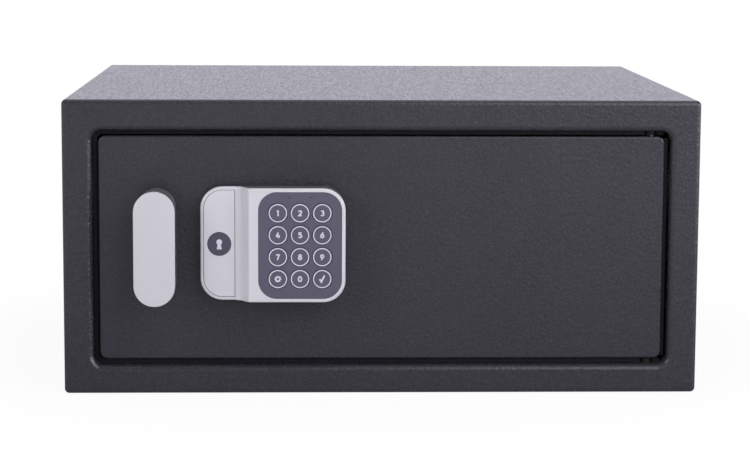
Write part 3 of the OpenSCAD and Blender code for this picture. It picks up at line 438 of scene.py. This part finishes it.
def add_sheet(name, outlines, back_y, height, material, body, centre=(0, 0)):
    """A flat closed plate in front of back_y. It unites outlines in X and Z, drawn round the centre.
    Places and the height are in metres."""
    points, loops = [], []
    for outline in outlines:
        loops.append(list(range(len(points), len(points) + len(outline))))
        points += [Vector(p) for p in outline]
    flat, _, triangles, _, _, inside = delaunay_2d_cdt(points, [], loops, 0, JOINED)
    triangles = [tri for tri, owners in zip(triangles, inside) if owners]
    count = len(flat)
    verts = [(centre[0] + p.x * MM, back_y - height, centre[1] + p.y * MM) for p in flat]
    verts += [(x, back_y, z) for x, _, z in verts]
    sides = dict.fromkeys((a, b) for tri in triangles for a, b in zip(tri, tri[1:] + tri[:1]))
    faces = [list(t) for t in triangles] + [[i + count for i in reversed(t)] for t in triangles]
    faces += [[b, a, a + count, b + count] for a, b in sides if (b, a) not in sides]
    return add_piece(name, verts, faces, material, body)


def arc(cx, cz, rx, rz, start, end, steps=20):
    """Points on part of an ellipse, between two angles in degrees."""
    angles = [math.radians(start + (end - start) * i / steps) for i in range(steps + 1)]
    return [(cx + rx * math.cos(angle), cz + rz * math.sin(angle)) for angle in angles]


def bar(cx, cz, width, height):
    x, z = width / 2, height / 2
    return [(cx - x, cz - z), (cx + x, cz - z), (cx + x, cz + z), (cx - x, cz + z)]


def stroke(path, width):
    """A pen line along a path, as one four-sided outline for each step, with mitred bends."""
    closed = math.dist(path[0], path[-1]) < JOINED
    points = [Vector(p) for p in (path[:-1] if closed else path)]
    steps = list(zip(points, points[1:] + points[:1]))[:None if closed else -1]
    arms = [(after - before).normalized() for before, after in steps]
    sides = []
    for i, point in enumerate(points):
        met = ([arms[i - 1]] if i or closed else []) + arms[i:i + 1]
        normals = [Vector((-arm.y, arm.x)) for arm in met]
        across = sum(normals, Vector((0, 0))).normalized()
        reach = width / 2 / max(MITRE_LIMIT, across.dot(normals[0]))
        sides.append((point + across * reach, point - across * reach))
    return [[here[1], ahead[1], ahead[0], here[0]]
            for here, ahead, _ in zip(sides, sides[1:] + sides[:1], arms)]


# Print on the keys and the badge, in millimetres

PRINT_HEIGHT = 0.05
RING_R, RING_PEN, RING_STEPS = 5.78, 0.68, 72
PEN = 0.9
ENTER_PEN = 1.25 * PEN
# The pen's paths for each sign, round the key's middle, and their scale
GLYPH_SIZE = 0.88
GLYPHS = {
    "1": [[(-0.85, 1.2), (0.2, 1.85)], [(0.2, 2.2), (0.2, -2.2)]],
    "2": [arc(0, 0.75, 1.08, 1.03, 168, -38) + [(-1.0, -1.78), (1.3, -1.78)]],
    "3": [arc(0, 0.88, 0.98, 0.9, 150, -90), arc(0, -0.88, 1.12, 0.92, 90, -152)],
    "4": [[(0.35, 2.1), (-1.2, -0.8)], [(-1.45, -0.85), (1.5, -0.85)], [(0.6, 0.4), (0.6, -2.2)]],
    "5": [[(1.1, 1.78), (-0.75, 1.78), (-0.85, 0.25)], arc(-0.05, -0.65, 1.2, 1.14, 132, -150)],
    "6": [arc(0, -0.68, 1.1, 1.1, 0, 360, 32), [(0.75, 2.15), (-0.95, -0.2)]],
    "7": [[(-1.35, 1.78), (1.0, 1.78), (-0.45, -2.2)]],
    "8": [arc(0, 0.92, 0.9, 0.87, 0, 360, 32), arc(0, -0.82, 1.1, 0.97, 0, 360, 32)],
    "9": [arc(0, 0.68, 1.1, 1.1, 0, 360, 32), [(-0.75, -2.15), (0.95, 0.2)]],
    "0": [arc(0, 0, 1.2, 1.78, 0, 360, 36)],
    "enter": [[(-1.9, 0.0), (-0.65, -2.2), (1.75, 2.75)]],
}
GEAR_R, GEAR_PEN, GEAR_TEETH = 1.35, 0.95, 8
GEAR_TOOTH = ((1.4, -0.5), (2.3, -0.38), (2.3, 0.38), (1.4, 0.5))
# A plain keyhole on the badge, because the emergency lock sits under this cover
KEYHOLE = [arc(0, 1.3, 1.9, 1.9, 0, 360, 40)[:-1], [(-1.75, -3.6), (1.75, -3.6), (0.75, 1.2), (-0.75, 1.2)]]


def gear_outlines():
    ring = stroke(arc(0, 0, GEAR_R, GEAR_R, 0, 360, 32), GEAR_PEN)
    for k in range(GEAR_TEETH):
        turn = Matrix.Rotation(math.radians(360 / GEAR_TEETH * k), 2)
        ring.append([turn @ Vector(p) for p in GEAR_TOOTH])
    return ring


def glyph_outlines(key):
    pen = ENTER_PEN if key == "enter" else PEN
    paths = [[(px * GLYPH_SIZE, pz * GLYPH_SIZE) for px, pz in path] for path in GLYPHS[key]]
    return [outline for path in paths for outline in stroke(path, pen)]


def print_on(node, name, outlines, body):
    """Raised print in the middle of a node's front face."""
    low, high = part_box(node)
    add_sheet(name, outlines, low.y, PRINT_HEIGHT * MM, INK, body,
              centre=((low.x + high.x) / 2, (low.z + high.z) / 2))


for key in ("1", "2", "3", "4", "5", "6", "7", "8", "9", "0", "set", "enter"):
    key_ring = stroke(arc(0, 0, RING_R, RING_R, 0, 360, RING_STEPS), RING_PEN)
    sign = gear_outlines() if key == "set" else glyph_outlines(key)
    print_on("key_" + key, "print_" + key, key_ring + sign, "key_" + key + "_body")
print_on("badge_disc", "print_badge", KEYHOLE, "cover")


# Door seal, in millimetres

SEAL_WIDTH = 3.0
SEAL_INSET = 1.8
SEAL_Y = (-165.4, -164.0)
# The frame's strip leaves out the hinge spacers between these, in X
SEAL_ENDS = 178.0
SEAL_RESTARTS = 186.4
# Past the spacers it goes this far round the corner, in degrees
SEAL_CORNER_TURN = 30
SEAL_CORNER_STEPS, SEAL_END_STEPS = 10, 4
# The strip on the door's hinge side
EDGE_SEAL_X = (188.8, 193.9)
EDGE_SEAL_Y = (-165.95, -164.8)
EDGE_SEAL_Z = (24.5, 174.0)


def rubber_strip(name, outlines, y, body):
    add_sheet(name, outlines, y[1] * MM, (y[1] - y[0]) * MM, SEAL_RUBBER, body)


def door_seals():
    """Rubber strips that hide the inside from the gap round the door.

    The frame's strip runs behind the door's free edges and goes on past the hinge spacers. The hinge side's
    strip sits on the door, inside the circle that leaves the frame's lip free as the door swings."""
    r = OPENING_CORNER - SEAL_INSET
    x0, x1 = SEAL_INSET - OPENING_X + r, OPENING_X - SEAL_INSET - r
    z0, z1 = OPENING_Z[0] + SEAL_INSET, OPENING_Z[1] - SEAL_INSET
    path = [(SEAL_ENDS, z1)] + arc(x0, z1 - r, r, r, 90, 180, SEAL_CORNER_STEPS)
    path += arc(x0, z0 + r, r, r, 180, 270, SEAL_CORNER_STEPS) + [(SEAL_ENDS, z0)]
    upper = [(SEAL_RESTARTS, z1)] + arc(x1, z1 - r, r, r, 90, 90 - SEAL_CORNER_TURN, SEAL_END_STEPS)
    lower = [(SEAL_RESTARTS, z0)] + arc(x1, z0 + r, r, r, 270, 270 + SEAL_CORNER_TURN, SEAL_END_STEPS)
    outlines = [outline for part in (path, upper, lower) for outline in stroke(part, SEAL_WIDTH)]
    rubber_strip("door_seal", outlines, SEAL_Y, "case")
    middle, width = sum(EDGE_SEAL_X) / 2, EDGE_SEAL_X[1] - EDGE_SEAL_X[0]
    rubber_strip("edge_seal", stroke([(middle, z) for z in EDGE_SEAL_Z], width), EDGE_SEAL_Y, "door")


door_seals()


# Trim inside the door, in millimetres. Sizes are along X and Z.

SCREW_HEAD_R = 3.5
CROSS_BAR = (3.6, 1.0)
CROSS_HEIGHT = 0.08
RIB_COUNT = 5
RIB_SIZE = (26.0, 1.0)
RIB_PITCH = 2.2
RIB_DROP = 13.0
RIB_PROUD = 0.5
RIB_SUNK = 0.1
RIB_EDGE = 0.2


def screw_recess_shade():
    """A dark cross on each screw of the inner cover: painted shade standing for the driver's recess."""
    low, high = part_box("door_screws")
    outlines = [bar(x / MM, z / MM, *size)
                for x in (low.x + SCREW_HEAD_R * MM, high.x - SCREW_HEAD_R * MM)
                for z in (low.z + SCREW_HEAD_R * MM, high.z - SCREW_HEAD_R * MM)
                for size in (CROSS_BAR, CROSS_BAR[::-1])]
    # Painted shade: a thin black sheet on the heads in place of the recess's shadow
    add_sheet("screw_recess_shade", outlines, high.y + CROSS_HEIGHT / 2 * MM, CROSS_HEIGHT * MM,
              MATERIALS["black_plastic"], "door")


def battery_door_ribs():
    """Low ribs under the battery door's thumb groove."""
    low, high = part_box("battery_door")
    cx, top = (low.x + high.x) / 2 / MM, high.z / MM - RIB_DROP
    outlines = [bar(cx, top - k * RIB_PITCH, *RIB_SIZE) for k in range(RIB_COUNT)]
    ribs = add_sheet("battery_door_ribs", outlines, high.y + RIB_PROUD * MM, (RIB_PROUD + RIB_SUNK) * MM,
                     MATERIALS["black_plastic"], "bay_cover")
    soften(ribs, RIB_EDGE, segments=2)


screw_recess_shade()
battery_door_ribs()


# Felt mat, in millimetres

MAT_CORNER = 6.0
MAT_CORNER_STEPS = 10
MAT_HOLE = 9.0
MAT_HOLE_STEPS = 40
MAT_RIM_STEP = 8
# How far in from the rim each layer of points lies, and how high
MAT_LAYERS = ((0.5, 0.0), (0.12, 0.15), (0.0, 0.5), (0.0, 1.3), (0.2, 1.7), (0.7, 1.95))
# Points on the upper face: their distance, and what stays free at the low side, the high side and the holes
MAT_GRID_STEP = 13
MAT_GRID_MARGINS = (12, 8)
MAT_GRID_FROM_HOLE = 5
MAT_JOINED = 1e-6
MAT_SMOOTH = math.radians(60)
# The swell: its depth as a share of the height, and the top of its waves
SWELL_DEPTH = 0.12
SWELL_TOP = 1.5
# Its waves along X and Y, as (length, phase), and the weaker one aslant
WAVE_X, WAVE_Y = (47, 0.6), (39, -0.4)
SLANT_LENGTH, SLANT, SLANT_SHARE = 83, 1.7, 0.5


def swell_wave(x, y):
    """A slow wave, from -SWELL_TOP to SWELL_TOP."""
    crossing = math.sin(x / WAVE_X[0] + WAVE_X[1]) * math.sin(y / WAVE_Y[0] + WAVE_Y[1])
    return crossing + SLANT_SHARE * math.sin((x + SLANT * y) / SLANT_LENGTH)


def round_box(x, y, r, step):
    """Points round a rectangle with round corners, anticlockwise."""
    centres = ((x[1] - r, y[1] - r), (x[0] + r, y[1] - r), (x[0] + r, y[0] + r), (x[1] - r, y[0] + r))
    corners = [arc(cx, cy, r, r, 90 * k, 90 * k + 90, MAT_CORNER_STEPS) for k, (cx, cy) in enumerate(centres)]
    points = []
    for corner, following in zip(corners, corners[1:] + corners[:1]):
        points += corner
        here, ahead = corner[-1], following[0]
        count = int(math.dist(here, ahead) / step)
        points += [(here[0] + (ahead[0] - here[0]) * i / count, here[1] + (ahead[1] - here[1]) * i / count)
                   for i in range(1, count)]
    return points


def mat_grid(x, y, holes_at):
    """Points for the upper face, away from its rim and its holes."""
    before, after = MAT_GRID_MARGINS
    lines = [range(int(low) + before, int(high) - after, MAT_GRID_STEP) for low, high in (x, y)]
    free = MAT_HOLE + MAT_GRID_FROM_HOLE
    return [(gx, gy) for gx in lines[0] for gy in lines[1]
            if all(math.dist((gx, gy), hole) > free for hole in holes_at)]


def felt_mat():
    """A cut felt mat with a soft rim, two holes for the anchor bolts and a slight swell from its storage."""
    low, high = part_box("floor_mat")
    x, y, base = (low.x / MM, high.x / MM), (low.y / MM, high.y / MM), low.z / MM
    anchors = next(m for m in frame["record"]["mounts"] if m["name"] == "base_anchors")
    aside = anchors["dims"]["spacing_x_mm"] / 2
    holes_at = [(side * aside, 0) for side in (1, -1)]

    def rings(inset):
        """The mat's rim and its holes, each drawn into the felt by the inset."""
        middle = [(span[0] + span[1]) / 2 for span in (x, y)]
        scale = [1 - inset / ((span[1] - span[0]) / 2) for span in (x, y)]
        outer = [(middle[0] + (px - middle[0]) * scale[0], middle[1] + (py - middle[1]) * scale[1])
                 for px, py in round_box(x, y, MAT_CORNER, MAT_RIM_STEP)]
        r = MAT_HOLE + inset
        return [outer] + [arc(hx, hy, r, r, 0, 360, MAT_HOLE_STEPS)[:-1] for hx, hy in holes_at]

    def place(px, py, height):
        """A point of the mat in metres, let down by the swell."""
        swell = height / (high.z - low.z) * MM * SWELL_DEPTH * (SWELL_TOP + swell_wave(px, py))
        return (px * MM, py * MM, (base + (height - swell)) * MM)

    verts = [place(px, py, height)
             for inset, height in MAT_LAYERS for ring in rings(inset) for px, py in ring]
    loops = []
    for ring in rings(0):
        first = loops[-1][-1] + 1 if loops else 0
        loops.append(list(range(first, first + len(ring))))
    layer = loops[-1][-1] + 1
    faces = []
    for level in range(len(MAT_LAYERS) - 1):
        for loop in loops:
            for a, b in zip(loop, loop[1:] + loop[:1]):
                face = [level * layer + i for i in (a, b, b + layer, a + layer)]
                faces.append(face if loop is loops[0] else face[::-1])
    for level, up in ((0, False), (len(MAT_LAYERS) - 1, True)):
        inset, height = MAT_LAYERS[level]
        points = [Vector(p) for ring in rings(inset) for p in ring]
        if up:
            points += [Vector(p) for p in mat_grid(x, y, holes_at)]
        flat, _, triangles, origins, _, owners = delaunay_2d_cdt(points, [], loops, 0, MAT_JOINED)
        index = []
        for point, origin in zip(flat, origins):
            ring_point = [o for o in origin if o < layer]
            if ring_point:
                index.append(level * layer + ring_point[0])
            else:
                index.append(len(verts))
                verts.append(place(point.x, point.y, height))
        for triangle, owner in zip(triangles, owners):
            if list(owner) == [0]:
                face = [index[i] for i in triangle]
                faces.append(face if up else face[::-1])
    mat = add_piece("felt_mat", verts, faces, MATERIALS["floor_lining"], "case",
                    smooth=MAT_SMOOTH)
    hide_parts("floor_mat")


felt_mat()


# Studio

SOFT_TINT = (0.98, 0.965, 1.0)
GLOSS_TINT = (0.885, 0.872, 1.0)
# The ways to the dim front left and to the window
DIM_WAY = (-0.64, -0.77, 0)
WINDOW_WAY = (0.90, -0.43, 0.06)
# How far up, or how near to its way, each part of the world starts, and where it has its full strength
CEILING_BAND = (0.25, 0.70)
DIM_BAND = (0.3, 0.95)
WINDOW_BAND = (0.75, 0.93)

FLOOR_SIZE = 30
FLOOR_Z = -0.0004
FLOOR_GREY = (0.92, 0.92, 0.92)
FLOOR_GLOSS_TINT = (0.93, 0.915, 1.0)
# Where the floor's gloss starts to grow with distance, and where it stops
FLOOR_GLOSS_BAND = (0.2, 1.4)

# Each lamp's name, place, aim, size, power and colour
LAMPS = (
    ("key", (0.52, -0.85, 0.68), (0.05, -0.17, 0.12), (0.9, 0.9), 7.3, (1, 0.985, 1)),
    ("fill", (-1.5, -1.2, 0.8), (-0.1, -0.17, 0.1), (0.8, 0.9), 11.5, (0.99, 0.98, 1)),
    ("top", (0, 0.3, 2.2), (0, 0, 0.2), (1.8, 1.8), 12, WHITE),
)

# The photograph's camera, fitted to the case's corners
CAMERA_PLACE = (-0.0525, -1.5698, 0.3158)
CAMERA_PITCH, CAMERA_YAW, CAMERA_ROLL = 0.124207, 0.033985, 0.005264
CAMERA_LENS, CAMERA_SENSOR, CAMERA_SHIFT_Y = 100.33, 36, -0.05
CAMERA_CLIP = (0.05, 60)


def area_light(name, place, aim, size, power, color):
    data = bpy.data.lights.new(name, "AREA")
    data.shape = "RECTANGLE"
    data.size, data.size_y = size
    data.energy = power
    data.color = color
    lamp = bpy.data.objects.new(name, data)
    lamp.location = place
    lamp.rotation_euler = (Vector(aim) - Vector(place)).to_track_quat("-Z", "Y").to_euler()
    scene.collection.objects.link(lamp)


def ray_share(tree, *kinds):
    """1 for rays of any of these kinds."""
    path = add_node(tree, "ShaderNodeLightPath")
    total = path.outputs[kinds[0]]
    for kind in kinds[1:]:
        total = add_math(tree, "MAXIMUM", total, path.outputs[kind])
    return total


def by_ray(tree, seen_share, soft, gloss, seen):
    """One shader for soft light, one for glossy rays, and one for its share of what the camera sees."""
    def mixed(share, first, second):
        return add_node(tree, "ShaderNodeMixShader", {0: share, 1: first, 2: second}).outputs[0]

    glossy_share = ray_share(tree, "Is Glossy Ray", "Is Transmission Ray")
    return mixed(seen_share, mixed(glossy_share, soft, gloss), seen)


def eased(tree, value, start, end, first, last):
    """A smooth step between two values, as another value goes from its start to its end."""
    return add_range(tree, value, start, end, first, last, interpolation_type="SMOOTHSTEP")


def build_world(ambient, sides, ceiling, front, window):
    """White where it is seen. In gloss it is white round the sides and back, dimmer overhead and at the
    front left, and brighter at the front right, as from a tall window."""
    world = bpy.data.worlds.new("studio")
    scene.world = world
    world.use_nodes = True
    tree = world.node_tree
    tree.nodes.clear()
    way = add_node(tree, "ShaderNodeTexCoord").outputs["Generated"]
    up = add_node(tree, "ShaderNodeSeparateXYZ", {0: way}).outputs[2]

    def toward(direction):
        made = add_node(tree, "ShaderNodeVectorMath", {0: way, 1: direction}, operation="DOT_PRODUCT")
        return made.outputs["Value"]

    around = add_math(tree, "MULTIPLY", eased(tree, up, *CEILING_BAND, sides, ceiling),
                      eased(tree, toward(DIM_WAY), *DIM_BAND, 1.0, front))
    strength = add_math(tree, "ADD", around, eased(tree, toward(WINDOW_WAY), *WINDOW_BAND, 0.0, window))
    backgrounds = [add_node(tree, "ShaderNodeBackground", {"Color": (*color, 1), "Strength": power})
                   for color, power in ((SOFT_TINT, ambient), (GLOSS_TINT, strength), (WHITE, 1.0))]
    shaders = [made.outputs[0] for made in backgrounds]
    surface = by_ray(tree, ray_share(tree, "Is Camera Ray"), *shaders)
    add_node(tree, "ShaderNodeOutputWorld", {"Surface": surface})


def build_floor(shadow_share, near, far, close, away):
    """A white floor that shows a share of the shadow near the object and fades to plain white.
    In gloss it is dimmer close to the object, where the object shades it."""
    bpy.ops.mesh.primitive_plane_add(size=FLOOR_SIZE, location=(0, 0, FLOOR_Z))
    floor = bpy.context.object
    floor.name = "floor"
    surface = bpy.data.materials.new("floor")
    surface.use_nodes = True
    tree = surface.node_tree
    tree.nodes.clear()
    place = add_node(tree, "ShaderNodeTexCoord").outputs["Object"]
    distance = add_node(tree, "ShaderNodeVectorMath", {0: place}, operation="LENGTH").outputs["Value"]
    soft = add_node(tree, "ShaderNodeBsdfDiffuse", {"Color": (*FLOOR_GREY, 1)})
    gloss = add_node(tree, "ShaderNodeEmission", {
        "Color": (*FLOOR_GLOSS_TINT, 1), "Strength": eased(tree, distance, *FLOOR_GLOSS_BAND, close, away)})
    white = add_node(tree, "ShaderNodeEmission", {"Color": (*WHITE, 1)})
    whiteness = eased(tree, distance, near, far, 1 - shadow_share, 1.0)
    seen_share = add_math(tree, "MULTIPLY", ray_share(tree, "Is Camera Ray"), whiteness)
    shaders = [made.outputs[0] for made in (soft, gloss, white)]
    add_node(tree, "ShaderNodeOutputMaterial", {"Surface": by_ray(tree, seen_share, *shaders)})
    floor.data.materials.append(surface)


def build_camera():
    """A camera from its angles in radians, as the fit gives them."""
    flat = math.cos(CAMERA_PITCH)
    forward = Vector((math.sin(CAMERA_YAW) * flat, math.cos(CAMERA_YAW) * flat, -math.sin(CAMERA_PITCH)))
    right = Vector((math.cos(CAMERA_YAW), -math.sin(CAMERA_YAW), 0))
    up = right.cross(forward)
    across = right * math.cos(CAMERA_ROLL) + up * math.sin(CAMERA_ROLL)
    upward = up * math.cos(CAMERA_ROLL) - right * math.sin(CAMERA_ROLL)
    data = bpy.data.cameras.new("camera")
    data.lens, data.sensor_width, data.shift_y = CAMERA_LENS, CAMERA_SENSOR, CAMERA_SHIFT_Y
    data.clip_start, data.clip_end = CAMERA_CLIP
    camera = bpy.data.objects.new("camera", data)
    turn = Matrix((across, upward, -forward)).transposed().to_4x4()
    camera.matrix_world = Matrix.Translation(CAMERA_PLACE) @ turn
    scene.collection.objects.link(camera)
    scene.camera = camera


build_world(ambient=0.33, sides=1.07, ceiling=0.22, front=0.45, window=6.3)
build_floor(shadow_share=0.07, near=0.24, far=0.42, close=0.35, away=0.95)
build_camera()
for lamp_values in LAMPS:
    area_light(*lamp_values)
scene.view_settings.view_transform = "Standard"
